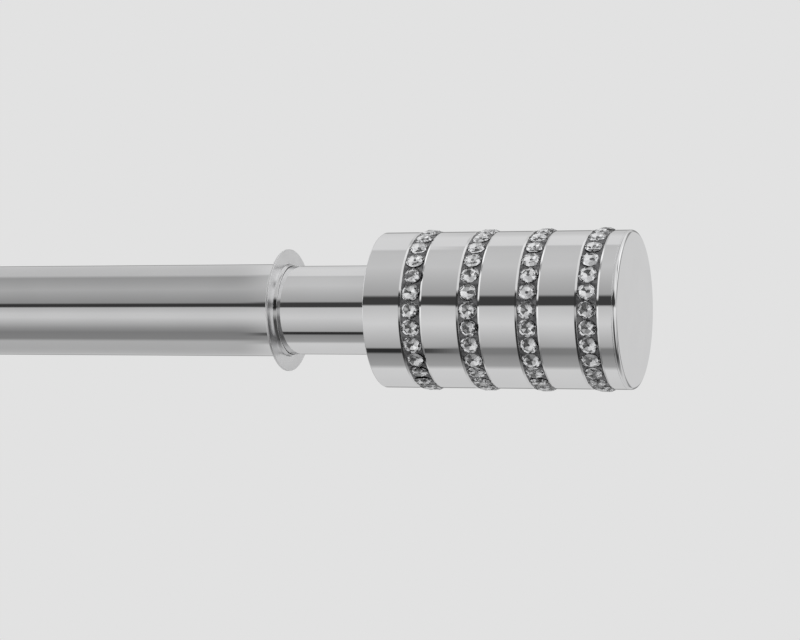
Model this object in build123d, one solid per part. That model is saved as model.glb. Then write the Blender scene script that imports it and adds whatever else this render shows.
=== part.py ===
from build123d import *

import os
from math import atan, cos, floor, pi, sin

# An extendable curtain rod: an outer tube, an inner tube that slides and turns in it, and a
# crystal-banded barrel finial on each end. Millimetres, X along the rod, Z up, and the origin on
# the rod's axis, half way between the two end caps. The piece names are those of the files.

# The two tubes
OUTER_TUBE_DIAMETER = 25.4
OUTER_TUBE_LENGTH = 714.0
TAIL_ROOM = 70.0  # free bore behind the inner tube's guide plug, as the rod is drawn
NECK_LENGTH = 27.1  # inner tube in view between the outer tube's mouth and its finial
TUBE_WALL = 0.4
SLIDE_CLEARANCE = 0.15  # between the two tubes, on the radius
LIP_CLEARANCE = 0.05  # between the rolled-in mouth and the inner tube, on the radius
LIP_LENGTH = 2.0
LIP_BEVEL = 0.3

# The stop collar, a thin washer pressed on the outer tube behind its mouth
COLLAR_DIAMETER = 33.5
COLLAR_THICKNESS = 0.6
COLLAR_SETBACK = 1.5  # from the mouth to the collar's face
COLLAR_CLEARANCE = 0.02

# The guide plug, which grips the outer tube's bore and on which the inner tube's tail turns
GUIDE_HEAD_LENGTH = 14.0
GUIDE_SPIGOT_LENGTH = 16.0
GUIDE_BORE = 15.0
GUIDE_CLEARANCE = 0.05
FINGER_COUNT = 6
FINGER_SLOT_WIDTH = 2.0
FINGER_SLOT_LENGTH = 11.0
CRIMP_SETBACK = 8.0  # from the inner tube's tail to the ring crimped into the spigot's groove
CRIMP_WIDTH = 2.0
CRIMP_DEPTH = 0.5

# The finial's barrel, a turned shell with a socket for the tube
BARREL_DIAMETER = 42.0
BARREL_LENGTH = 67.4
BARREL_WALL = 3.2
BASE_BEVEL = 0.7
WEB_THICKNESS = 3.0
SOCKET_DEPTH = 4.0
SOCKET_CLEARANCE = 0.05

# The crystal rows: grooves round the barrel, each with a folded setting strip and its stones
ROW_COUNT = 4
BASE_MARGIN = 10.6  # from the barrel's base to the first groove
END_MARGIN = 3.95  # from the last groove to the barrel's open end
ROW_WIDTH = 5.3
GROOVE_DEPTH = 1.9
GROOVE_BEVEL = 0.3
STRIP_THICKNESS = 0.5
STRIP_CLEARANCE = 0.05  # between the strip and the groove's floor and walls
STONE_WIDTH = 4.4  # across flats at the girdle
STONE_BASE_WIDTH = 4.0
STONE_TABLE_WIDTH = 2.4
STONE_GIRDLE_HEIGHT = 1.0
STONE_HEIGHT = 1.9
STONE_GAP = 0.2  # least room between two girdles
STONE_SIDES = 8

# The end cap, which plugs the barrel's bore
CAP_THICKNESS = 1.3
CAP_BEVEL = 1.0
CAP_SPIGOT_LENGTH = 4.0
CAP_SPIGOT_WALL = 1.5
CAP_CLEARANCE = 0.05

# The fixing: a stud through the barrel's web into a ribbed insert in the tube, and its nut
STUD_DIAMETER = 6.0
STUD_BEVEL = 0.8
STUD_PAST_NUT = 2.0
STUD_HOLE_CLEARANCE = 0.2
THREAD_CLEARANCE = 0.05
NUT_ACROSS_FLATS = 10.0
NUT_HEIGHT = 5.0
INSERT_LENGTH = 20.0
INSERT_CORE_DIAMETER = 13.0
INSERT_CLEARANCE = 0.05
RIB_COUNT = 6
RIB_WIDTH = 3.0

# Radii that follow from the sizes above
outer_radius = OUTER_TUBE_DIAMETER / 2
outer_bore = outer_radius - TUBE_WALL
inner_radius = outer_bore - SLIDE_CLEARANCE
inner_bore = inner_radius - TUBE_WALL
barrel_radius = BARREL_DIAMETER / 2
barrel_bore = barrel_radius - BARREL_WALL
groove_floor = barrel_radius - GROOVE_DEPTH
strip_inside = groove_floor + STRIP_CLEARANCE
strip_outside = strip_inside + STRIP_THICKNESS
girdle_radius = strip_outside + STONE_GIRDLE_HEIGHT
stud_radius = STUD_DIAMETER / 2
stone_count = floor(pi / atan((STONE_WIDTH + STONE_GAP) / 2 / girdle_radius))
row_pitch = (BARREL_LENGTH - BASE_MARGIN - END_MARGIN - ROW_WIDTH) / (ROW_COUNT - 1)

# Places along the rod that follow from the sizes above
outer_visible = OUTER_TUBE_LENGTH - SOCKET_DEPTH
left_base = -(outer_visible + NECK_LENGTH) / 2
mouth = left_base + outer_visible
right_base = mouth + NECK_LENGTH
insert_reach = INSERT_LENGTH - SOCKET_DEPTH
inner_tail = left_base + insert_reach + TAIL_ROOM + GUIDE_HEAD_LENGTH + GUIDE_CLEARANCE


def turned(points):
    """A solid of revolution about X from the (x, radius) corners of its half section."""
    return revolve(make_face(Plane.XZ * Polyline(*points, close=True)), Axis.X)


def outer_tube():
    """The thin outer tube, with its mouth rolled in to a lip that guides the inner tube."""
    lip = inner_radius + LIP_CLEARANCE
    back = left_base - SOCKET_DEPTH
    return turned(
        [
            (back, outer_bore),
            (back, outer_radius),
            (mouth - LIP_BEVEL, outer_radius),
            (mouth, outer_radius - LIP_BEVEL),
            (mouth, lip),
            (mouth - LIP_LENGTH, lip),
            (mouth - LIP_LENGTH, outer_bore),
        ]
    )


def stop_collar():
    """The thin washer on the outer tube, just behind the mouth."""
    face = mouth - COLLAR_SETBACK
    bore = outer_radius + COLLAR_CLEARANCE
    return turned(
        [
            (face - COLLAR_THICKNESS, bore),
            (face - COLLAR_THICKNESS, COLLAR_DIAMETER / 2),
            (face, COLLAR_DIAMETER / 2),
            (face, bore),
        ]
    )


def inner_tube():
    """The sliding tube, with a ring crimped inwards near its tail, which the guide plug holds."""
    front = right_base + SOCKET_DEPTH
    crimp = inner_tail + CRIMP_SETBACK
    return turned(
        [
            (inner_tail, inner_bore),
            (inner_tail, inner_radius),
            (crimp, inner_radius),
            (crimp + CRIMP_DEPTH, inner_radius - CRIMP_DEPTH),
            (crimp + CRIMP_WIDTH - CRIMP_DEPTH, inner_radius - CRIMP_DEPTH),
            (crimp + CRIMP_WIDTH, inner_radius),
            (front, inner_radius),
            (front, inner_bore),
            (crimp + CRIMP_WIDTH, inner_bore),
            (crimp + CRIMP_WIDTH - CRIMP_DEPTH, inner_bore - CRIMP_DEPTH),
            (crimp + CRIMP_DEPTH, inner_bore - CRIMP_DEPTH),
            (crimp, inner_bore),
        ]
    )


def guide_plug():
    """The nylon plug at the inner tube's tail: a head slotted into fingers, and a grooved spigot."""
    head = outer_bore - GUIDE_CLEARANCE
    spigot = inner_bore - GUIDE_CLEARANCE
    shoulder = inner_tail - GUIDE_CLEARANCE
    back = shoulder - GUIDE_HEAD_LENGTH
    crimp = inner_tail + CRIMP_SETBACK
    groove = spigot - CRIMP_DEPTH
    body = turned(
        [
            (back, GUIDE_BORE / 2),
            (back, head - LIP_BEVEL),
            (back + LIP_BEVEL, head),
            (shoulder, head),
            (shoulder, spigot),
            (crimp - GUIDE_CLEARANCE, spigot),
            (crimp + CRIMP_DEPTH - GUIDE_CLEARANCE, groove),
            (crimp + CRIMP_WIDTH - CRIMP_DEPTH + GUIDE_CLEARANCE, groove),
            (crimp + CRIMP_WIDTH + GUIDE_CLEARANCE, spigot),
            (shoulder + GUIDE_SPIGOT_LENGTH, spigot),
            (shoulder + GUIDE_SPIGOT_LENGTH, GUIDE_BORE / 2),
        ]
    )
    reach = outer_bore - GUIDE_BORE / 4
    slot = Pos(back + FINGER_SLOT_LENGTH / 2, 0, GUIDE_BORE / 4 + reach / 2) * Box(
        FINGER_SLOT_LENGTH, FINGER_SLOT_WIDTH, reach
    )
    for finger in range(FINGER_COUNT):
        body -= Rot(X=360 * finger / FINGER_COUNT) * slot
    return body


def row_start(row):
    """Where a crystal row's groove begins, from the barrel's base."""
    return BASE_MARGIN + row * row_pitch


def barrel(tube_radius):
    """The barrel, standing on its base at x = 0: socket, web, open bore and bevelled grooves."""
    socket = tube_radius + SOCKET_CLEARANCE
    stud_hole = stud_radius + STUD_HOLE_CLEARANCE
    web_end = SOCKET_DEPTH + WEB_THICKNESS
    section = [
        (SOCKET_DEPTH, stud_hole),
        (SOCKET_DEPTH, socket),
        (0, socket),
        (0, barrel_radius - BASE_BEVEL),
        (BASE_BEVEL, barrel_radius),
    ]
    for row in range(ROW_COUNT):
        start = row_start(row)
        end = start + ROW_WIDTH
        section += [
            (start - GROOVE_BEVEL, barrel_radius),
            (start, barrel_radius - GROOVE_BEVEL),
            (start, groove_floor),
            (end, groove_floor),
            (end, barrel_radius - GROOVE_BEVEL),
            (end + GROOVE_BEVEL, barrel_radius),
        ]
    section += [
        (BARREL_LENGTH, barrel_radius),
        (BARREL_LENGTH, barrel_bore),
        (web_end, barrel_bore),
        (web_end, stud_hole),
    ]
    return turned(section)


def end_cap():
    """The cap: a disc with a bevelled rim, flush with the barrel, and a spigot in its bore."""
    spigot = barrel_bore - CAP_CLEARANCE
    front = BARREL_LENGTH + CAP_THICKNESS
    return turned(
        [
            (BARREL_LENGTH - CAP_SPIGOT_LENGTH, spigot - CAP_SPIGOT_WALL),
            (BARREL_LENGTH - CAP_SPIGOT_LENGTH, spigot),
            (BARREL_LENGTH, spigot),
            (BARREL_LENGTH, barrel_radius),
            (front - CAP_BEVEL, barrel_radius),
            (front, barrel_radius - CAP_BEVEL),
            (front, 0),
            (BARREL_LENGTH, 0),
            (BARREL_LENGTH, spigot - CAP_SPIGOT_WALL),
        ]
    )


def setting_strip(row):
    """The strip folded round a groove's floor, one flat for each stone."""
    flats = RegularPolygon(strip_outside, stone_count, major_radius=False)
    inside = RegularPolygon(strip_inside, stone_count, major_radius=False)
    turn = Rot(X=90 - 180 / stone_count)
    start = row_start(row) + STRIP_CLEARANCE
    width = ROW_WIDTH - 2 * STRIP_CLEARANCE
    return turn * extrude(Plane.YZ.offset(start) * (flats - inside), width)


def stone():
    """One cut stone, on its base at the origin with its table up: a girdle between two tapers."""
    levels = [
        (0, STONE_BASE_WIDTH),
        (STONE_GIRDLE_HEIGHT, STONE_WIDTH),
        (STONE_HEIGHT, STONE_TABLE_WIDTH),
    ]
    step = 2 * pi / STONE_SIDES
    rings = []
    for height, width in levels:
        corner = width / 2 / cos(step / 2)
        angles = [step * (side + 0.5) for side in range(STONE_SIDES)]
        rings.append([Vector(corner * cos(a), corner * sin(a), height) for a in angles])
    outlines = [rings[0][::-1], rings[-1]]
    for low, high in zip(rings, rings[1:]):
        for side in range(STONE_SIDES):
            after = (side + 1) % STONE_SIDES
            outlines.append([low[side], low[after], high[after], high[side]])
    return Solid(Shell([Face(Wire.make_polygon(outline)) for outline in outlines]))


def crystal_row(row):
    """The stones of one row, each standing on its flat of the setting strip."""
    middle = row_start(row) + ROW_WIDTH / 2
    cut = stone()
    places = [
        Pos(X=middle) * Rot(X=360 * place / stone_count) * Pos(Z=strip_outside)
        for place in range(stone_count)
    ]
    return Compound(children=[place * cut for place in places])


def tube_insert(tube_bore):
    """The nylon insert in the tube's end: a core with ribs out to the bore, and a stud hole."""
    end = SOCKET_DEPTH
    back = -insert_reach
    reach = tube_bore - INSERT_CLEARANCE
    hole = stud_radius + THREAD_CLEARANCE
    middle = (back + end) / 2
    ribs = []
    for rib in range(RIB_COUNT):
        plate = Pos(middle, 0, reach / 2) * Box(INSERT_LENGTH, RIB_WIDTH, reach)
        ribs.append(Rot(X=360 * rib / RIB_COUNT) * plate)
    round_bar = turned([(back, 0), (back, reach), (end, reach), (end, 0)])
    core = INSERT_CORE_DIAMETER / 2
    core_bar = turned([(back, 0), (back, core), (end, core), (end, 0)])
    bored = turned([(back, 0), (back, hole), (end, hole), (end, 0)])
    return (core_bar + ribs) & (round_bar - bored)


def stud():
    """The stud, with bevelled ends, from the insert's back to just past the nut."""
    back = -insert_reach
    front = SOCKET_DEPTH + WEB_THICKNESS + NUT_HEIGHT + STUD_PAST_NUT
    return turned(
        [
            (back, 0),
            (back, stud_radius - STUD_BEVEL),
            (back + STUD_BEVEL, stud_radius),
            (front - STUD_BEVEL, stud_radius),
            (front, stud_radius - STUD_BEVEL),
            (front, 0),
        ]
    )


def nut():
    """The hexagon nut that draws the barrel's web against the tube."""
    hexagon = RegularPolygon(NUT_ACROSS_FLATS / 2, 6, major_radius=False)
    hole = Circle(stud_radius + THREAD_CLEARANCE)
    seat = Plane.YZ.offset(SOCKET_DEPTH + WEB_THICKNESS)
    return extrude(seat * (hexagon - hole), NUT_HEIGHT)


def finial(tube_radius):
    """A finial's pieces by name, standing out along +X with the barrel's base at x = 0."""
    pieces = {
        "barrel": barrel(tube_radius),
        "end_cap": end_cap(),
        "tube_insert": tube_insert(tube_radius - TUBE_WALL),
        "stud": stud(),
        "nut": nut(),
    }
    for row in range(ROW_COUNT):
        pieces[f"setting_strip_{row + 1}"] = setting_strip(row)
        pieces[f"crystal_row_{row + 1}"] = crystal_row(row)
    return pieces


rod = {
    "outer_tube": outer_tube(),
    "inner_tube": inner_tube(),
    "stop_collar": stop_collar(),
    "guide_plug": guide_plug(),
}
ends = {
    "left": (outer_radius, Pos(X=left_base) * Rot(Z=180)),
    "right": (inner_radius, Pos(X=right_base)),
}
for side, (tube_radius, place) in ends.items():
    for name, piece in finial(tube_radius).items():
        rod[f"{side}_{name}"] = place * piece

os.makedirs("parts", exist_ok=True)
for name, piece in rod.items():
    export_step(piece, f"parts/{name}.step")
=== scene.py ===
"""An extendable curtain rod with crystal-banded barrel finials, dressed for a studio picture.

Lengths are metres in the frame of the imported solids: X along the rod, Z up, -Y towards the room.
A finial is worked out standing on its barrel's base at x = 0 and reaching out along +X.
"""

import math

import bpy
import numpy as np
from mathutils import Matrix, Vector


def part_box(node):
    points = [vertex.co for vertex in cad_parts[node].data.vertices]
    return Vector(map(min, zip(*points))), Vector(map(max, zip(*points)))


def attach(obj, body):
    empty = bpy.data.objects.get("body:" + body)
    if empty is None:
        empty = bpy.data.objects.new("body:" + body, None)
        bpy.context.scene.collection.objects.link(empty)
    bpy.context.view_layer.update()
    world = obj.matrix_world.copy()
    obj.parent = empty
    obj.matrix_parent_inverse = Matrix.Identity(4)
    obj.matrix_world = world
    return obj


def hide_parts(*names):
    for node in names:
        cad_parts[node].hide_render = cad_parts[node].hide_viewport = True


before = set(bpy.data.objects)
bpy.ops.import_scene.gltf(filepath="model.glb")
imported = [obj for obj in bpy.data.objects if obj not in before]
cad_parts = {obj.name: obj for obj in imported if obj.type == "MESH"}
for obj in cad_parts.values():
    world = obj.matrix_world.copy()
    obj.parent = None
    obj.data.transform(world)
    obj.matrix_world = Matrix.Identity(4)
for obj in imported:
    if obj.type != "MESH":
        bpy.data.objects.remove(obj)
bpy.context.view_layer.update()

MM = 0.001

# Fineness of the turned pieces
TURN_STEPS = 192
ARC_STEPS = 6
STRAIGHT_TURN = 1e-9

# Tubes and collar
TUBE_WALL = 0.4 * MM
LIP_WALL = 0.43 * MM
LIP_LENGTH = 2.0 * MM
MOUTH_SETBACK = 0.5 * MM
MOUTH_SLOPE_LENGTH = 1.0 * MM
MOUTH_SLOPE_DROP = 0.19 * MM
MOUTH_ROUNDING = 0.6 * MM
NOSE_ROUNDING = 0.12 * MM
LIP_ROUNDING = 0.06 * MM
LIP_HEEL_ROUNDING = 0.01 * MM
EDGE_ROUNDING = 0.08 * MM
COLLAR_ROUNDING = 0.15 * MM
COLLAR_BORE_ROOM = 0.02 * MM
CRIMP_SETBACK = 8.0 * MM
CRIMP_WIDTH = 2.0 * MM
CRIMP_DEPTH = 0.5 * MM

# Barrel and cap
BARREL_WALL = 3.2 * MM
SOCKET_DEPTH = 4.0 * MM
SOCKET_ROOM = 0.05 * MM
WEB_THICKNESS = 3.0 * MM
STUD_HOLE = 3.2 * MM
BASE_ROUNDING = 0.3 * MM
GROOVE_DEPTH = 1.9 * MM
GROOVE_INSET = 0.03 * MM
RIM_WIDTH = 0.6 * MM
RIM_DROP = 0.2 * MM
RIM_ROUNDING = 0.2 * MM
CAP_ROUNDING = 1.0 * MM
CAP_SPIGOT_WALL = 1.5 * MM
CAP_ROOM = 0.05 * MM

# Stones and the strips that they are set in
ROWS = 4
STONES_A_ROW = 28
STRIP_THICKNESS = 0.5 * MM
STRIP_ROOM = 0.01 * MM
STRIP_RISE = 1.65 * MM
SEAT_RADIUS = 2.15 * MM
SEAT_FLOOR = 1.3 * MM
STONE_GIRDLE = 2.33 * MM
STONE_TABLE = 1.3 * MM
STONE_HEIGHT = 1.08 * MM
STONE_CROWN_HEIGHT = 0.5 * MM
STONE_GIRDLE_HEIGHT = 0.1 * MM
STONE_CULET = 0.35 * MM
STONE_SIDES = 8
STONE_TILT = 0.05
STONE_STRETCH = 1.11
SEED = 28
WELD_DIGITS = 8

# Camera, as the photograph was taken
FRAME_WIDTH_PX = 800
SENSOR_WIDTH_MM = 36.0
FOCAL_PX = 2350.0
VIEW_AZIMUTH = math.radians(19.1)
VIEW_ELEVATION = math.radians(0.4)
VIEW_ROLL = math.radians(0.12)
VIEW_DISTANCE = 0.637
AIM_PAST_BASE = 3.4 * MM
AIM_BELOW_AXIS = 2.7 * MM
CLIP_START = 0.01

# Stage
BACKGROUND_GREY = 226
FLOOR_DROP = 0.40
FLOOR_RADIUS = 1.8
FLOOR_RINGS = (0.15, 0.45, 0.75, 1.0)
FLOOR_STEPS = 64
FLOOR_FADE_START = 0.6
FLOOR_COLOUR = (0.82, 0.82, 0.82)
FLOOR_ROUGHNESS = 0.9
TENT_RADIUS = 40.0
TENT_STEPS = 64
TENT_RINGS = 33

# Finishes. A pattern's scales go along X, Y and Z. A range goes from its low to its high value.
NOISE_RANGE = (0.3, 0.7)
TINT_RANGE = (0.35, 0.65)
POLISH_CLOUDS = (70, 140, 140)
POLISH_SPREAD = (0.8, 1.25)
POLISH_FADE = 0.02
SETTING_BLOTCHES = (900, 900, 900)
SETTING_ROUGHNESS = (0.28, 0.4)
GLASS_COLOUR = (0.99, 0.995, 1.0)
GLASS_INDEX = 1.56
GLASS_HAZE = (500, 500, 500)
GLASS_ROUGHNESS = (0.0, 0.02)
FOIL_CREASES = (400, 400, 400)
FOIL_DARK = (0.9, 0.9, 0.905)
FOIL_LIGHT = (0.97, 0.97, 0.975)
FOIL_ROUGHNESS = (0.05, 0.12)
NYLON_COLOUR = (0.78, 0.78, 0.74)
NYLON_SUBSURFACE = 0.1
NYLON_GRIT = (2500, 2500, 2500)
NYLON_GRIT_DEPTH = 0.02 * MM
NYLON_ROUGHNESS = (0.4, 0.55)
ZINC_COLOUR = (0.58, 0.59, 0.6)
ZINC_MARKS = (4000, 60, 60)
ZINC_ROUGHNESS = (0.25, 0.4)


def rounded_section(corners, closed=True):
    """A half section in (x, radius), traced with the outside on its left.

    Each corner is (x, radius, rounding). An arc of that rounding touches both runs: it starts the
    rounding times tan(half the turn) before the corner, and its normal turns evenly from one run's
    to the other's. Gives the points and their outward normals.
    """
    table = np.array(corners, dtype=float)
    point, rounding = table[:, :2], table[:, 2]
    before = point - np.roll(point, 1, axis=0)
    after = np.roll(point, -1, axis=0) - point
    if not closed:
        before[0] = after[0]
        after[-1] = before[-1]
    before /= np.linalg.norm(before, axis=1, keepdims=True)
    after /= np.linalg.norm(after, axis=1, keepdims=True)
    cross = before[:, 0] * after[:, 1] - before[:, 1] * after[:, 0]
    turn = np.arctan2(cross, (before * after).sum(axis=1))
    normal_in = np.stack([-before[:, 1], before[:, 0]], axis=1)
    bulge = (-np.sign(turn) * rounding)[:, None]
    start = point - before * (rounding * np.tan(np.abs(turn) / 2))[:, None]
    centre = start - bulge * normal_in
    angle = turn[:, None] * np.linspace(0, 1, ARC_STEPS + 1)
    normal = np.stack(
        [
            normal_in[:, :1] * np.cos(angle) - normal_in[:, 1:] * np.sin(angle),
            normal_in[:, :1] * np.sin(angle) + normal_in[:, 1:] * np.cos(angle),
        ],
        axis=-1,
    )
    arc = centre[:, None] + bulge[:, None] * normal
    kept = np.ones(arc.shape[:2], dtype=bool)
    kept[np.abs(turn) < STRAIGHT_TURN, 1:] = False
    return arc[kept], normal[kept]


def turned(section, closed=True):
    """Carries a section round the rod's axis: (x, r) at angle a goes to (x, r cos a, r sin a).

    A closed section gives a ring. An open one starts and ends on the axis, and a fan of triangles
    closes each pole. Gives vertices, faces and vertex normals.
    """
    points, normals = section
    rim = slice(None) if closed else slice(1, -1)
    x, radius = points[rim].T
    angle = np.arange(TURN_STEPS) * (2 * np.pi / TURN_STEPS)
    spokes = np.stack([np.zeros_like(angle), np.cos(angle), np.sin(angle)], axis=1)
    along = np.array([1.0, 0.0, 0.0])
    rings = x[:, None, None] * along + radius[:, None, None] * spokes
    facing = normals[rim][:, 0, None, None] * along + normals[rim][:, 1, None, None] * spokes
    count = len(x)
    here = np.arange(count * TURN_STEPS).reshape(count, TURN_STEPS)
    beside = np.roll(here, -1, axis=1)
    ahead = np.roll(here, -1, axis=0)
    diagonal = np.roll(beside, -1, axis=0)
    quads = np.stack([here, beside, diagonal, ahead], axis=-1)
    quads = quads if closed else quads[:-1]
    faces = quads.reshape(-1, 4).tolist()
    vertices = rings.reshape(-1, 3)
    facing = facing.reshape(-1, 3)
    if not closed:
        poles = np.array([[points[0, 0], 0, 0], [points[-1, 0], 0, 0]])
        ends = np.array([[normals[0, 0], 0, 0], [normals[-1, 0], 0, 0]])
        first, last = len(vertices), len(vertices) + 1
        vertices = np.concatenate([vertices, poles])
        facing = np.concatenate([facing, ends])
        near = np.stack([np.full(TURN_STEPS, first), beside[0], here[0]], axis=1)
        far = np.stack([np.full(TURN_STEPS, last), here[-1], beside[-1]], axis=1)
        faces += near.tolist() + far.tolist()
    return vertices, faces, facing


def piece(name, vertices, faces, body, replaced, normals=None, materials=(), marks=None):
    """Makes one mesh of the rod, with smooth normals where they are given, riding on its body."""
    mesh = bpy.data.meshes.new(name)
    mesh.from_pydata(vertices.tolist(), [], faces)
    for material in materials:
        mesh.materials.append(material)
    if marks is not None:
        mesh.polygons.foreach_set("material_index", marks)
    smooth = np.full(len(mesh.polygons), normals is not None)
    mesh.polygons.foreach_set("use_smooth", smooth)
    mesh.update()
    if normals is not None:
        mesh.normals_split_custom_set_from_vertices(normals.tolist())
    made = bpy.data.objects.new(name, mesh)
    bpy.context.scene.collection.objects.link(made)
    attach(made, body)
    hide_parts(replaced)


# The two tubes and the collar


def outer_tube_section(back, mouth, radius):
    """A thin tube whose mouth slopes in to a rolled lip."""
    bore = radius - TUBE_WALL
    lip = radius - LIP_WALL
    nose = mouth - MOUTH_SETBACK
    return rounded_section(
        [
            (back, bore, EDGE_ROUNDING),
            (back, radius, EDGE_ROUNDING),
            (nose - MOUTH_SLOPE_LENGTH, radius, MOUTH_ROUNDING),
            (nose, radius - MOUTH_SLOPE_DROP, NOSE_ROUNDING),
            (nose, lip, LIP_ROUNDING),
            (nose - LIP_LENGTH, lip, LIP_HEEL_ROUNDING),
            (nose - LIP_LENGTH, bore, LIP_HEEL_ROUNDING),
        ]
    )


def inner_tube_section(tail, front, radius):
    """A thin tube with a ring crimped inwards near its tail."""
    bore = radius - TUBE_WALL
    start = tail + CRIMP_SETBACK
    end = start + CRIMP_WIDTH
    soft = CRIMP_DEPTH / 2
    return rounded_section(
        [
            (tail, bore, EDGE_ROUNDING),
            (tail, radius, EDGE_ROUNDING),
            (start, radius, soft),
            (start + CRIMP_DEPTH, radius - CRIMP_DEPTH, soft),
            (end - CRIMP_DEPTH, radius - CRIMP_DEPTH, soft),
            (end, radius, soft),
            (front, radius, EDGE_ROUNDING),
            (front, bore, EDGE_ROUNDING),
            (end, bore, soft),
            (end - CRIMP_DEPTH, bore - CRIMP_DEPTH, soft),
            (start + CRIMP_DEPTH, bore - CRIMP_DEPTH, soft),
            (start, bore, soft),
        ]
    )


def collar_section(back, face, bore, radius):
    """A thin washer with its outer edges rounded."""
    return rounded_section(
        [
            (back, bore, EDGE_ROUNDING),
            (back, radius, COLLAR_ROUNDING),
            (face, radius, COLLAR_ROUNDING),
            (face, bore, EDGE_ROUNDING),
        ]
    )


# The finial, standing on its barrel's base


def barrel_section(length, radius, tube_radius, grooves):
    """The barrel's shell: base, rounded grooves, open end, bore, web and tube socket."""
    socket = tube_radius + SOCKET_ROOM
    bore = radius - BARREL_WALL
    floor = radius - GROOVE_DEPTH
    web = SOCKET_DEPTH + WEB_THICKNESS
    corners = [
        (SOCKET_DEPTH, STUD_HOLE, EDGE_ROUNDING),
        (SOCKET_DEPTH, socket, EDGE_ROUNDING),
        (0, socket, EDGE_ROUNDING),
        (0, radius, BASE_ROUNDING),
    ]
    for start, end in grooves:
        near = start + GROOVE_INSET
        far = end - GROOVE_INSET
        corners += [
            (near - RIM_WIDTH, radius, RIM_ROUNDING),
            (near, radius - RIM_DROP, RIM_ROUNDING),
            (near, floor, EDGE_ROUNDING),
            (far, floor, EDGE_ROUNDING),
            (far, radius - RIM_DROP, RIM_ROUNDING),
            (far + RIM_WIDTH, radius, RIM_ROUNDING),
        ]
    corners += [
        (length, radius, EDGE_ROUNDING),
        (length, bore, EDGE_ROUNDING),
        (web, bore, EDGE_ROUNDING),
        (web, STUD_HOLE, EDGE_ROUNDING),
    ]
    return rounded_section(corners)


def cap_section(seat, back, front, radius):
    """The end cap: a disc on the barrel's end, rounded at its rim, with a hollow spigot behind."""
    spigot = radius - BARREL_WALL - CAP_ROOM
    hollow = spigot - CAP_SPIGOT_WALL
    return rounded_section(
        [
            (seat, 0, 0),
            (seat, hollow, EDGE_ROUNDING),
            (back, hollow, EDGE_ROUNDING),
            (back, spigot, EDGE_ROUNDING),
            (seat, spigot, EDGE_ROUNDING),
            (seat, radius, EDGE_ROUNDING),
            (front, radius, CAP_ROUNDING),
            (front, 0, 0),
        ],
        closed=False,
    )


def cut_stone():
    """One stone, (along, across, up) from its seat's floor: a crown, a thin girdle, a blunt point.

    Crown and point are eight-sided pyramids cut by a sixteen-sided girdle. A flank's middle lies
    1 - cos(half a side) of the girdle's radius further out than its corners. So the crown meets the
    girdle lower there by that length times its slope, and the point meets it higher by the same
    rule. Gives vertices, faces and a mark for each face: 0 clear glass on the crown, 1 foil on the
    girdle and the point, 2 near-black metal on the blunt end, painted shade for each stone's dark
    centre.
    """
    rim_count = 2 * STONE_SIDES
    half_side = math.pi / STONE_SIDES
    angle = np.arange(rim_count) * half_side
    middle = np.arange(rim_count) % 2 == 0
    bulge = STONE_GIRDLE * (1 - math.cos(half_side))
    girdle_top = STONE_HEIGHT - STONE_CROWN_HEIGHT
    girdle_bottom = girdle_top - STONE_GIRDLE_HEIGHT
    crown_slope = STONE_CROWN_HEIGHT / ((STONE_GIRDLE - STONE_TABLE) * math.cos(half_side))
    point_slope = girdle_bottom / (STONE_GIRDLE - STONE_CULET * math.cos(half_side))
    low = girdle_bottom - bulge * point_slope * ~middle
    high = girdle_top - bulge * crown_slope * middle
    circle = np.stack([np.cos(angle), np.sin(angle)], axis=1)
    bottom_ring = np.column_stack([STONE_GIRDLE * circle, low])
    top_ring = np.column_stack([STONE_GIRDLE * circle, high])
    table_ring = np.column_stack([STONE_TABLE * circle[1::2], np.full(STONE_SIDES, STONE_HEIGHT)])
    culet_ring = np.column_stack([STONE_CULET * circle[1::2], np.zeros(STONE_SIDES)])
    vertices = np.concatenate([bottom_ring, top_ring, table_ring, culet_ring])
    here = np.arange(rim_count)
    beside = (here + 1) % rim_count
    girdle = np.stack([here, beside, rim_count + beside, rim_count + here], axis=1)
    side = np.arange(STONE_SIDES)
    before = (2 * side - 1) % rim_count
    peak = 2 * side
    after = (2 * side + 1) % rim_count
    table = 2 * rim_count + side
    table_before = 2 * rim_count + (side - 1) % STONE_SIDES
    culet = table + STONE_SIDES
    culet_before = table_before + STONE_SIDES
    crown = np.stack(
        [rim_count + before, rim_count + peak, rim_count + after, table, table_before], axis=1
    )
    point = np.stack([after, peak, before, culet_before, culet], axis=1)
    faces = [table.tolist()] + crown.tolist() + girdle.tolist() + point.tolist()
    faces.append(culet[::-1].tolist())
    marks = np.repeat([0, 1, 1, 2], [1 + STONE_SIDES, rim_count, STONE_SIDES, 1])
    return vertices, faces, marks


def round_the_row(pattern, faces, middle, seat, spin=None, tilt=None):
    """Repeats a pattern once for each stone of a row.

    The pattern is (along, across, up). A stone is spun about its own upright, stretched along the
    rod and tipped by the two tilts. Then the pattern is lifted to the seat's radius and carried
    round the rod's axis, stone by stone, as whole arrays.
    """
    place = np.arange(STONES_A_ROW) * (2 * np.pi / STONES_A_ROW)
    along, across, up = (np.tile(part, (STONES_A_ROW, 1)) for part in pattern.T)
    if spin is not None:
        turn = spin[:, None]
        along, across = (
            STONE_STRETCH * (along * np.cos(turn) - across * np.sin(turn)),
            along * np.sin(turn) + across * np.cos(turn),
        )
        up = up + along * tilt[:, :1] + across * tilt[:, 1:]
    out = seat + up
    cos, sin = np.cos(place)[:, None], np.sin(place)[:, None]
    carried = [middle + along, out * cos + across * sin, out * sin - across * cos]
    vertices = np.stack(carried, axis=-1)
    step = len(pattern) * np.arange(STONES_A_ROW)
    repeated = [(np.array(face) + first).tolist() for first in step for face in faces]
    return vertices.reshape(-1, 3), repeated


def welded(vertices, faces):
    """Joins the vertices that lie on each other."""
    kept, index = np.unique(np.round(vertices, WELD_DIGITS), axis=0, return_inverse=True)
    return kept, [index.ravel()[face].tolist() for face in faces]


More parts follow.
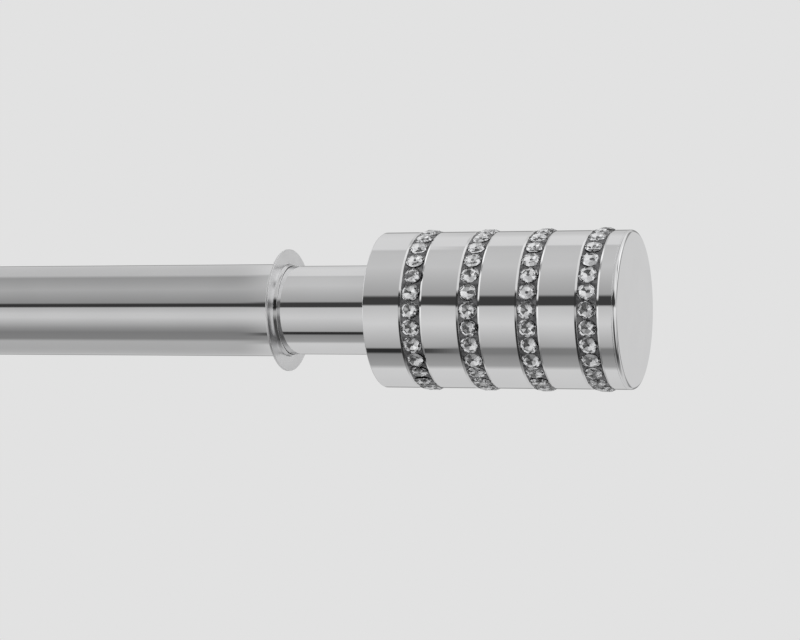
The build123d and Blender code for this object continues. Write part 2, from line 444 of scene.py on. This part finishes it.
def pierced_tile(width, seat):
    """One stone's share of a setting strip: a block with a round seat sunk in its outer face.

    The block's outline is walked in twelve steps, and each step looks to the seat's circle at the
    same angle. Its sides lean to meet the next stone's block: half its breadth is the radius there
    times tan(half a stone's turn). The two open sides are shut by the blocks beside it.
    """
    third = 1 / 3
    walk = np.array(
        [
            (1, -1), (1, -third), (1, third), (1, 1), (third, 1), (-third, 1),
            (-1, 1), (-1, third), (-1, -third), (-1, -1), (-third, -1), (third, -1),
        ]
    )
    lean = math.tan(math.pi / STONES_A_ROW)
    top = walk * [width / 2, (seat + STRIP_RISE) * lean]
    foot = walk * [width / 2, seat * lean]
    circle = SEAT_RADIUS * top / np.linalg.norm(top, axis=1, keepdims=True)
    count = len(walk)
    levels = [
        (foot, 0.0),
        (top, STRIP_RISE),
        (circle, STRIP_RISE),
        (circle, SEAT_FLOOR),
    ]
    rings = [np.column_stack([ring, np.full(count, up)]) for ring, up in levels]
    here = np.arange(count)
    beside = np.roll(here, -1)
    band = np.stack([here, beside, count + beside, count + here], axis=1)
    strip_edges = [0, 1, 2, 6, 7, 8]
    skirt = band[strip_edges]
    face = count + band
    bore = 2 * count + band
    faces = skirt.tolist() + face.tolist() + bore.tolist()
    faces += [(3 * count + here).tolist(), here[::-1].tolist()]
    return np.concatenate(rings), faces


# Finishes


def linear(grey):
    """The light level that a display grey of 0 to 255 stands for, by the sRGB curve."""
    share = grey / 255
    return share / 12.92 if share <= 0.04045 else ((share + 0.055) / 1.055) ** 2.4


def new_material(name):
    """A material with its node tree and its main shader."""
    material = bpy.data.materials.new(name)
    material.use_nodes = True
    return material, material.node_tree, material.node_tree.nodes["Principled BSDF"]


def object_pattern(tree, stretch, detail):
    """Noise on object coordinates, stretched along each axis by the given scales."""
    where = tree.nodes.new("ShaderNodeTexCoord")
    mapping = tree.nodes.new("ShaderNodeMapping")
    mapping.inputs["Scale"].default_value = stretch
    noise = tree.nodes.new("ShaderNodeTexNoise")
    noise.inputs["Scale"].default_value = 1.0
    noise.inputs["Detail"].default_value = detail
    tree.links.new(where.outputs["Object"], mapping.inputs["Vector"])
    tree.links.new(mapping.outputs["Vector"], noise.inputs["Vector"])
    return noise.outputs["Fac"]


def map_range(tree, value, low, high, out_low, out_high, smooth=False):
    """Maps a value from one range to another, held at both ends."""
    node = tree.nodes.new("ShaderNodeMapRange")
    node.interpolation_type = "SMOOTHSTEP" if smooth else "LINEAR"
    limits = {"From Min": low, "From Max": high, "To Min": out_low, "To Max": out_high}
    for socket, number in limits.items():
        node.inputs[socket].default_value = number
    tree.links.new(value, node.inputs["Value"])
    return node.outputs["Result"]


def spread(tree, value, low, high):
    """Spreads the middle of a noise value over the range from low to high."""
    return map_range(tree, value, *NOISE_RANGE, low, high)


def tinted(tree, value, dark, light):
    """Goes from a dark to a light colour as a noise value rises."""
    ramp = tree.nodes.new("ShaderNodeValToRGB")
    low, high = ramp.color_ramp.elements
    low.position, high.position = TINT_RANGE
    low.color, high.color = (*dark, 1.0), (*light, 1.0)
    tree.links.new(value, ramp.inputs["Fac"])
    return ramp.outputs["Color"]


def bumped(tree, shader, height, depth):
    """Raises a shader's surface by a height pattern of the given depth."""
    bump = tree.nodes.new("ShaderNodeBump")
    bump.inputs["Strength"].default_value = 1.0
    bump.inputs["Distance"].default_value = depth
    tree.links.new(height, bump.inputs["Height"])
    tree.links.new(bump.outputs["Normal"], shader.inputs["Normal"])


def plated_metal(name, colour, roughness, grain, grain_depth):
    """Polished plate: bright metal with cloudy polish marks and fine drawn grain."""
    material, tree, shader = new_material(name)
    shader.inputs["Metallic"].default_value = 1.0
    clouds = object_pattern(tree, POLISH_CLOUDS, 3.0)
    smoothest, roughest = (roughness * share for share in POLISH_SPREAD)
    tree.links.new(spread(tree, clouds, smoothest, roughest), shader.inputs["Roughness"])
    duller = tuple(part - POLISH_FADE for part in colour)
    tree.links.new(tinted(tree, clouds, duller, colour), shader.inputs["Base Color"])
    bumped(tree, shader, object_pattern(tree, grain, 2.0), grain_depth)
    return material


def setting_metal(name, dark, light):
    """Dull setting metal, blotched between a dark and a light grey. Its low greys are partly
    painted shade.
    """
    material, tree, shader = new_material(name)
    shader.inputs["Metallic"].default_value = 1.0
    blotches = object_pattern(tree, SETTING_BLOTCHES, 3.0)
    tree.links.new(tinted(tree, blotches, dark, light), shader.inputs["Base Color"])
    tree.links.new(spread(tree, blotches, *SETTING_ROUGHNESS), shader.inputs["Roughness"])
    return material


def crystal_glass():
    """Clear lead glass, with the faintest haze in places."""
    material, tree, shader = new_material("crystal_glass")
    shader.inputs["Base Color"].default_value = (*GLASS_COLOUR, 1)
    shader.inputs["Transmission Weight"].default_value = 1.0
    shader.inputs["IOR"].default_value = GLASS_INDEX
    haze = object_pattern(tree, GLASS_HAZE, 2.0)
    tree.links.new(spread(tree, haze, *GLASS_ROUGHNESS), shader.inputs["Roughness"])
    return material


def crystal_foil():
    """The silver foil on a stone's girdle and point."""
    material, tree, shader = new_material("crystal_foil")
    shader.inputs["Metallic"].default_value = 1.0
    creases = object_pattern(tree, FOIL_CREASES, 2.0)
    tree.links.new(tinted(tree, creases, FOIL_DARK, FOIL_LIGHT), shader.inputs["Base Color"])
    tree.links.new(spread(tree, creases, *FOIL_ROUGHNESS), shader.inputs["Roughness"])
    return material


def moulded_nylon():
    """Pale moulded plastic with a faint sparked texture."""
    material, tree, shader = new_material("moulded_nylon")
    shader.inputs["Base Color"].default_value = (*NYLON_COLOUR, 1)
    shader.inputs["Subsurface Weight"].default_value = NYLON_SUBSURFACE
    grit = object_pattern(tree, NYLON_GRIT, 3.0)
    tree.links.new(spread(tree, grit, *NYLON_ROUGHNESS), shader.inputs["Roughness"])
    bumped(tree, shader, grit, NYLON_GRIT_DEPTH)
    return material


def zinc_steel():
    """Dull zinc-plated fasteners, with turning marks round the rod's axis."""
    material, tree, shader = new_material("zinc_steel")
    shader.inputs["Metallic"].default_value = 1.0
    shader.inputs["Base Color"].default_value = (*ZINC_COLOUR, 1)
    marks = object_pattern(tree, ZINC_MARKS, 2.0)
    tree.links.new(spread(tree, marks, *ZINC_ROUGHNESS), shader.inputs["Roughness"])
    return material


tube_plate = plated_metal(
    "tube_plate",
    colour=(0.83, 0.83, 0.835),
    roughness=0.035,
    grain=(6, 1600, 1600),
    grain_depth=0.0004 * MM,
)
collar_plate = plated_metal(
    "collar_plate",
    colour=(0.84, 0.84, 0.845),
    roughness=0.3,
    grain=(1600, 300, 300),
    grain_depth=0.0005 * MM,
)
finial_plate = plated_metal(
    "finial_plate",
    colour=(0.85, 0.85, 0.855),
    roughness=0.025,
    grain=(2200, 12, 12),
    grain_depth=0.0003 * MM,
)
# Dull setting metal for the strips, its greys kept low: part of that darkness is painted shade
# between the stones.
strip_metal_and_shade = setting_metal("strip_metal_and_shade", dark=(0.12, 0.12, 0.125), light=(0.31, 0.31, 0.315))
# Near-black metal on the stones' blunt ends: painted shade that gives each stone its dark centre.
painted_culet_shade = setting_metal("painted_culet_shade", dark=(0.08, 0.08, 0.085), light=(0.2, 0.2, 0.205))
glass = crystal_glass()
foil = crystal_foil()
nylon = moulded_nylon()
zinc = zinc_steel()


# The rod


def x_range(node):
    """Where a node starts and ends along the rod."""
    low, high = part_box(node)
    return low[0], high[0]


def radius_of(node):
    """Half a turned node's height."""
    low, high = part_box(node)
    return (high[2] - low[2]) / 2


def turned_piece(name, section, body, node, material, closed=True, place=None):
    """A turned piece, carried to its place along the rod and turned about Z for the left end."""
    vertices, faces, normals = turned(section, closed)
    if place is not None:
        vertices, normals = place(vertices), place(normals, moved=False)
    piece(name, vertices, faces, body, node, normals, [material])


outer_radius = radius_of("outer_tube")
inner_radius = radius_of("inner_tube")
outer_back, mouth = x_range("outer_tube")
inner_tail, inner_front = x_range("inner_tube")
collar_back, collar_face = x_range("stop_collar")
collar_bore = outer_radius + COLLAR_BORE_ROOM

turned_piece(
    "plated_outer_tube",
    outer_tube_section(outer_back, mouth, outer_radius),
    "outer",
    "outer_tube",
    tube_plate,
)
turned_piece(
    "plated_inner_tube",
    inner_tube_section(inner_tail, inner_front, inner_radius),
    "inner",
    "inner_tube",
    tube_plate,
)
turned_piece(
    "plated_stop_collar",
    collar_section(collar_back, collar_face, collar_bore, radius_of("stop_collar")),
    "outer",
    "stop_collar",
    collar_plate,
)

stone, stone_faces, stone_marks = cut_stone()
chance = np.random.default_rng(SEED)


def dress_finial(side, body, tube_radius):
    """Makes one finial's barrel, cap, strips and stones where its solids are."""
    sign = 1 if side == "right" else -1
    ends = sorted(sign * x for x in x_range(f"{side}_barrel"))
    base, length = sign * ends[0], ends[1] - ends[0]
    radius = radius_of(f"{side}_barrel")

    def place(points, moved=True):
        """Half a turn about Z for the left end, then out to the barrel's base."""
        turned_round = points * [sign, sign, 1]
        return turned_round + [base, 0, 0] if moved else turned_round

    def local(node):
        """A node's start and end from the barrel's base, outwards."""
        return sorted(sign * (x - base) for x in x_range(f"{side}_{node}"))

    strips = [local(f"setting_strip_{row}") for row in range(1, ROWS + 1)]
    cap_back, cap_front = local("end_cap")
    turned_piece(
        f"{side}_plated_barrel",
        barrel_section(length, radius, tube_radius, strips),
        body,
        f"{side}_barrel",
        finial_plate,
        place=place,
    )
    turned_piece(
        f"{side}_plated_cap",
        cap_section(length, cap_back, cap_front, radius),
        body,
        f"{side}_end_cap",
        finial_plate,
        closed=False,
        place=place,
    )
    for row, (start, end) in enumerate(strips, start=1):
        middle = (start + end) / 2
        seat = radius_of(f"{side}_setting_strip_{row}") - STRIP_THICKNESS
        tile, tile_faces = pierced_tile(end - start - 2 * (GROOVE_INSET + STRIP_ROOM), seat)
        strip, strip_faces = welded(*round_the_row(tile, tile_faces, middle, seat))
        piece(
            f"{side}_pierced_strip_{row}",
            place(strip),
            strip_faces,
            body,
            f"{side}_setting_strip_{row}",
            materials=[strip_metal_and_shade],
        )
        spin = chance.uniform(0, 2 * np.pi / STONE_SIDES, STONES_A_ROW)
        tilt = chance.normal(0, STONE_TILT, (STONES_A_ROW, 2))
        stones, stones_faces = round_the_row(
            stone, stone_faces, middle, seat + SEAT_FLOOR, spin, tilt
        )
        piece(
            f"{side}_cut_crystals_{row}",
            place(stones),
            stones_faces,
            body,
            f"{side}_crystal_row_{row}",
            materials=[glass, foil, painted_culet_shade],
            marks=np.tile(stone_marks, STONES_A_ROW),
        )
    for fastener in ("stud", "nut"):
        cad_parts[f"{side}_{fastener}"].data.materials[0] = zinc
    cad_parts[f"{side}_tube_insert"].data.materials[0] = nylon


dress_finial("left", "outer", outer_radius)
dress_finial("right", "inner", inner_radius)
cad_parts["guide_plug"].data.materials[0] = nylon


# Light: a soft tent round the rod, of pale sheets with dark gaps between them


# Each sheet is (first edge, last edge, light at the first, light at the last). The edges are
# degrees about the rod: 0 is towards the viewer, 90 overhead. Between two sheets the light goes
# evenly from one to the other.
TENT_END = [
    (-180, -150, 0.72, 0.66),
    (-110, -70, 0.58, 0.58),
    (-30, 28, 0.78, 0.88),
    (38, 54, 0.16, 0.16),
    (62, 78, 0.70, 1.00),
    (82, 112, 1.00, 0.90),
    (124, 140, 0.16, 0.16),
    (150, 180, 0.80, 0.72),
]
TENT_FAR_LEFT = [
    (-180, -175, 0.60, 0.60),
    (-170, -160, 0.20, 0.20),
    (-150, -112, 0.60, 0.75),
    (-98, -76, 0.20, 0.20),
    (-56, -18, 0.60, 0.85),
    (-10, 5, 0.95, 0.95),
    (8, 16, 0.05, 0.05),
    (22, 66, 0.85, 1.00),
    (75, 83, 0.35, 0.35),
    (92, 134, 1.10, 1.10),
    (146, 156, 0.55, 0.55),
    (160, 170, 0.20, 0.20),
    (175, 180, 0.60, 0.60),
]
TENT_BY_TUBE = [
    (-180, -176, 0.66, 0.66),
    (-173, -164, 0.26, 0.26),
    (-158, -140, 0.56, 0.50),
    (-116, -86, 0.46, 0.48),
    (-77, -57, 0.25, 0.23),
    (-45, -18, 0.33, 0.66),
    (-8, 7, 0.65, 0.50),
    (9, 16, 0.04, 0.04),
    (19, 54, 0.30, 0.46),
    (76, 92, 0.39, 0.35),
    (101, 158, 0.57, 0.60),
    (164, 173, 0.26, 0.26),
    (176, 180, 0.66, 0.66),
]
TENT_BY_NECK = [
    (-180, -176, 0.66, 0.66),
    (-173, -164, 0.28, 0.28),
    (-158, -97, 0.62, 0.70),
    (-89, -68, 0.38, 0.28),
    (-65, -59, 0.03, 0.03),
    (-57, -20, 0.42, 0.70),
    (-12, 6, 0.68, 0.58),
    (8, 19, 0.05, 0.05),
    (22, 66, 0.40, 0.62),
    (90, 98, 0.60, 0.57),
    (102, 132, 0.75, 0.75),
    (146, 158, 0.70, 0.64),
    (164, 173, 0.28, 0.28),
    (176, 180, 0.66, 0.66),
]
TENT_BY_FINIAL = [
    (-180, -176, 0.66, 0.66),
    (-173, -164, 0.28, 0.28),
    (-158, -97, 0.62, 0.70),
    (-89, -72, 0.38, 0.30),
    (-66, -58, 0.22, 0.22),
    (-54, -20, 0.42, 0.70),
    (-12, 5, 0.68, 0.58),
    (7, 19, 0.05, 0.05),
    (22, 66, 0.40, 0.62),
    (90, 106, 0.60, 0.57),
    (109, 132, 0.75, 0.75),
    (146, 158, 0.62, 0.60),
    (164, 173, 0.28, 0.28),
    (176, 180, 0.66, 0.66),
]
TENT_BY_MOUTH = [
    (-180, -176, 0.66, 0.66),
    (-173, -164, 0.28, 0.28),
    (-158, -110, 0.62, 0.62),
    (-78, -24, 0.07, 0.07),
    (-10, -3, 0.45, 0.45),
    (4, 24, 0.02, 0.02),
    (34, 70, 0.55, 0.60),
    (86, 110, 0.42, 0.42),
    (128, 158, 0.68, 0.62),
    (164, 173, 0.28, 0.28),
    (176, 180, 0.66, 0.66),
]
TENT_OVER_VIEWER = [
    (-180, -176, 0.66, 0.66),
    (-173, -164, 0.28, 0.28),
    (-158, -110, 0.62, 0.62),
    (-78, -24, 0.12, 0.16),
    (-10, 2, 0.55, 0.55),
    (6, 22, 0.04, 0.04),
    (30, 76, 0.75, 0.90),
    (92, 140, 0.90, 0.90),
    (150, 158, 0.62, 0.62),
    (164, 173, 0.28, 0.28),
    (176, 180, 0.66, 0.66),
]
TENT_TO_THE_RIGHT = [
    (-180, -164, 0.66, 0.66),
    (-158, -148, 0.28, 0.28),
    (-140, -118, 0.62, 0.66),
    (-74, -18, 0.03, 0.04),
    (-6, 3, 0.50, 0.50),
    (6, 24, 0.04, 0.04),
    (30, 134, 0.75, 0.85),
    (148, 158, 0.28, 0.28),
    (164, 180, 0.66, 0.66),
]
TENT_FAR_RIGHT = [
    (-180, -175, 0.60, 0.60),
    (-170, -160, 0.20, 0.20),
    (-150, -112, 0.55, 0.70),
    (-98, -80, 0.12, 0.12),
    (-64, -15, 0.60, 0.90),
    (-6, 4, 0.90, 0.90),
    (9, 18, 0.06, 0.06),
    (26, 64, 0.80, 1.00),
    (72, 82, 0.25, 0.25),
    (92, 128, 1.10, 1.10),
    (144, 156, 0.50, 0.50),
    (160, 170, 0.20, 0.20),
    (175, 180, 0.60, 0.60),
]
# Each tent from left to right, after where it begins and where it has wholly taken over, both as
# the share of a direction that lies along the rod
TENTS = [
    (-1.0, -1.0, TENT_END),
    (-0.98, -0.9, TENT_FAR_LEFT),
    (-0.62, -0.52, TENT_BY_TUBE),
    (-0.385, -0.365, TENT_BY_NECK),
    (-0.315, -0.285, TENT_BY_FINIAL),
    (-0.21, -0.08, TENT_BY_MOUTH),
    (0.0, 0.12, TENT_OVER_VIEWER),
    (0.13, 0.22, TENT_TO_THE_RIGHT),
    (0.5, 0.62, TENT_FAR_RIGHT),
    (0.9, 0.98, TENT_END),
]


def tent_ramp(tree, share, sheets):
    """Light by angle about the rod, a share of the whole turn, from one tent's sheets."""
    stops = [stop for first, last, start, end in sheets for stop in ((first, start), (last, end))]
    ramp = tree.nodes.new("ShaderNodeValToRGB")
    elements = ramp.color_ramp.elements
    elements.remove(elements[-1])
    for count, (degrees, level) in enumerate(stops):
        position = (degrees + 180) / 360
        element = elements[0] if count == 0 else elements.new(position)
        element.position = position
        element.color = (level, level, level, 1)
    tree.links.new(share, ramp.inputs["Fac"])
    return ramp.outputs["Color"]


def arithmetic(tree, operation, first, second):
    """One sum or product of two values, either of which may be a plain number."""
    node = tree.nodes.new("ShaderNodeMath")
    node.operation = operation
    for socket, value in zip(node.inputs, (first, second)):
        if isinstance(value, (int, float)):
            socket.default_value = value
        else:
            tree.links.new(value, socket)
    return node.outputs["Value"]


def mixed_colour(tree, share, first, second):
    """Goes from the first colour to the second as the share goes from 0 to 1."""
    node = tree.nodes.new("ShaderNodeMix")
    node.data_type = "RGBA"
    first_colour, second_colour = node.inputs[6:8]
    mixed = node.outputs[2]
    tree.links.new(share, node.inputs["Factor"])
    tree.links.new(first, first_colour)
    tree.links.new(second, second_colour)
    return mixed


def plain_world():
    """A plain pale world, which is all that shows behind the rod."""
    world = bpy.data.worlds.new("plain_world")
    bpy.context.scene.world = world
    world.use_nodes = True
    pale = linear(BACKGROUND_GREY)
    world.node_tree.nodes["Background"].inputs["Color"].default_value = (pale, pale, pale, 1)


def stage_object(name, points, blocks, material):
    """Makes a mesh for the stage from its points, some blocks of faces and one material."""
    mesh = bpy.data.meshes.new(name)
    mesh.from_pydata(points.tolist(), [], [face for block in blocks for face in block.tolist()])
    mesh.materials.append(material)
    made = bpy.data.objects.new(name, mesh)
    bpy.context.scene.collection.objects.link(made)
    return made


def light_tent():
    """A glowing sphere far out round the rod: (cos v cos u, cos v sin u, sin v) times its radius.

    Its light goes by the direction from the rod: by the angle about the rod, and by the share that
    lies along the rod. The camera looks through it.
    """
    turn = np.arange(TENT_STEPS) * (2 * np.pi / TENT_STEPS)
    lift = np.linspace(-np.pi / 2, np.pi / 2, TENT_RINGS)[1:-1]
    u, v = np.meshgrid(turn, lift)
    grid = np.stack([np.cos(v) * np.cos(u), np.cos(v) * np.sin(u), np.sin(v)], axis=-1)
    grid = grid.reshape(-1, 3)
    points = TENT_RADIUS * np.concatenate([grid, [[0, 0, -1], [0, 0, 1]]])
    here = np.arange(len(grid)).reshape(len(lift), TENT_STEPS)
    beside = np.roll(here, -1, axis=1)
    bands = np.stack([here[:-1], beside[:-1], beside[1:], here[1:]], axis=-1).reshape(-1, 4)
    bottom = np.stack([np.full(TENT_STEPS, len(grid)), beside[0], here[0]], axis=1)
    top = np.stack([np.full(TENT_STEPS, len(grid) + 1), here[-1], beside[-1]], axis=1)
    material = bpy.data.materials.new("tent_cloth")
    material.use_nodes = True
    tent = stage_object("light_tent", points, [bands, bottom, top], material)
    tent.visible_camera = False
    tree = material.node_tree
    tree.nodes.clear()
    where = tree.nodes.new("ShaderNodeTexCoord")
    direction = tree.nodes.new("ShaderNodeVectorMath")
    direction.operation = "NORMALIZE"
    parts = tree.nodes.new("ShaderNodeSeparateXYZ")
    tree.links.new(where.outputs["Object"], direction.inputs[0])
    tree.links.new(direction.outputs["Vector"], parts.inputs["Vector"])
    x, y, z = (parts.outputs[axis] for axis in "XYZ")
    angle = arithmetic(tree, "ARCTAN2", z, arithmetic(tree, "MULTIPLY", y, -1.0))
    share = map_range(tree, angle, -math.pi, math.pi, 0.0, 1.0)
    light = tent_ramp(tree, share, TENTS[0][2])
    for start, end, sheets in TENTS[1:]:
        along = map_range(tree, x, start, end, 0.0, 1.0, smooth=True)
        light = mixed_colour(tree, along, light, tent_ramp(tree, share, sheets))
    glow = tree.nodes.new("ShaderNodeEmission")
    output = tree.nodes.new("ShaderNodeOutputMaterial")
    tree.links.new(light, glow.inputs["Color"])
    tree.links.new(glow.outputs["Emission"], output.inputs["Surface"])


def pale_floor():
    """A plain pale floor well below the rod, which goes over into the background before its edge.

    Only the camera sees the background's grey there, so the floor's edge puts no light on the rod.
    """
    rings = np.array(FLOOR_RINGS) * FLOOR_RADIUS
    angle = np.arange(FLOOR_STEPS) * (2 * np.pi / FLOOR_STEPS)
    circle = np.stack([np.cos(angle), np.sin(angle), np.zeros_like(angle)], axis=1)
    points = (rings[:, None, None] * circle).reshape(-1, 3)
    points = np.concatenate([points, np.zeros((1, 3))]) + [0, 0, -FLOOR_DROP]
    here = np.arange(len(rings) * FLOOR_STEPS).reshape(len(rings), FLOOR_STEPS)
    beside = np.roll(here, -1, axis=1)
    bands = np.stack([here[:-1], here[1:], beside[1:], beside[:-1]], axis=-1).reshape(-1, 4)
    hub = np.stack([np.full(FLOOR_STEPS, len(points) - 1), here[0], beside[0]], axis=1)
    material, tree, shader = new_material("floor_paper")
    floor = stage_object("floor", points, [bands, hub], material)
    floor.visible_glossy = False
    floor.visible_transmission = False
    shader.inputs["Base Color"].default_value = (*FLOOR_COLOUR, 1)
    shader.inputs["Roughness"].default_value = FLOOR_ROUGHNESS
    where = tree.nodes.new("ShaderNodeTexCoord")
    distance = tree.nodes.new("ShaderNodeVectorMath")
    distance.operation = "LENGTH"
    tree.links.new(where.outputs["Object"], distance.inputs[0])
    reach = distance.outputs["Value"]
    far = map_range(tree, reach, FLOOR_FADE_START, FLOOR_RADIUS, 0.0, 1.0, smooth=True)
    glow = tree.nodes.new("ShaderNodeEmission")
    pale = linear(BACKGROUND_GREY)
    glow.inputs["Color"].default_value = (pale, pale, pale, 1)
    seen = tree.nodes.new("ShaderNodeLightPath")
    tree.links.new(seen.outputs["Is Camera Ray"], glow.inputs["Strength"])
    blend = tree.nodes.new("ShaderNodeMixShader")
    tree.links.new(far, blend.inputs["Fac"])
    tree.links.new(shader.outputs["BSDF"], blend.inputs[1])
    tree.links.new(glow.outputs["Emission"], blend.inputs[2])
    tree.links.new(blend.outputs["Shader"], tree.nodes["Material Output"].inputs["Surface"])


def photograph_camera():
    """The camera: aimed just past the right barrel's base, from the front and a little right."""
    base = x_range("right_barrel")[0]
    aim = np.array([base + AIM_PAST_BASE, 0.0, -AIM_BELOW_AXIS])
    back = np.array(
        [
            math.sin(VIEW_AZIMUTH) * math.cos(VIEW_ELEVATION),
            -math.cos(VIEW_AZIMUTH) * math.cos(VIEW_ELEVATION),
            math.sin(VIEW_ELEVATION),
        ]
    )
    data = bpy.data.cameras.new("photograph")
    data.sensor_width = SENSOR_WIDTH_MM
    data.lens = SENSOR_WIDTH_MM * FOCAL_PX / FRAME_WIDTH_PX
    data.clip_start = CLIP_START
    camera = bpy.data.objects.new("photograph", data)
    bpy.context.scene.collection.objects.link(camera)
    camera.location = (aim + VIEW_DISTANCE * back).tolist()
    camera.rotation_euler = (math.pi / 2 - VIEW_ELEVATION, VIEW_ROLL, VIEW_AZIMUTH)
    bpy.context.scene.camera = camera


plain_world()
light_tent()
pale_floor()
photograph_camera()
bpy.context.scene.view_settings.view_transform = "Standard"
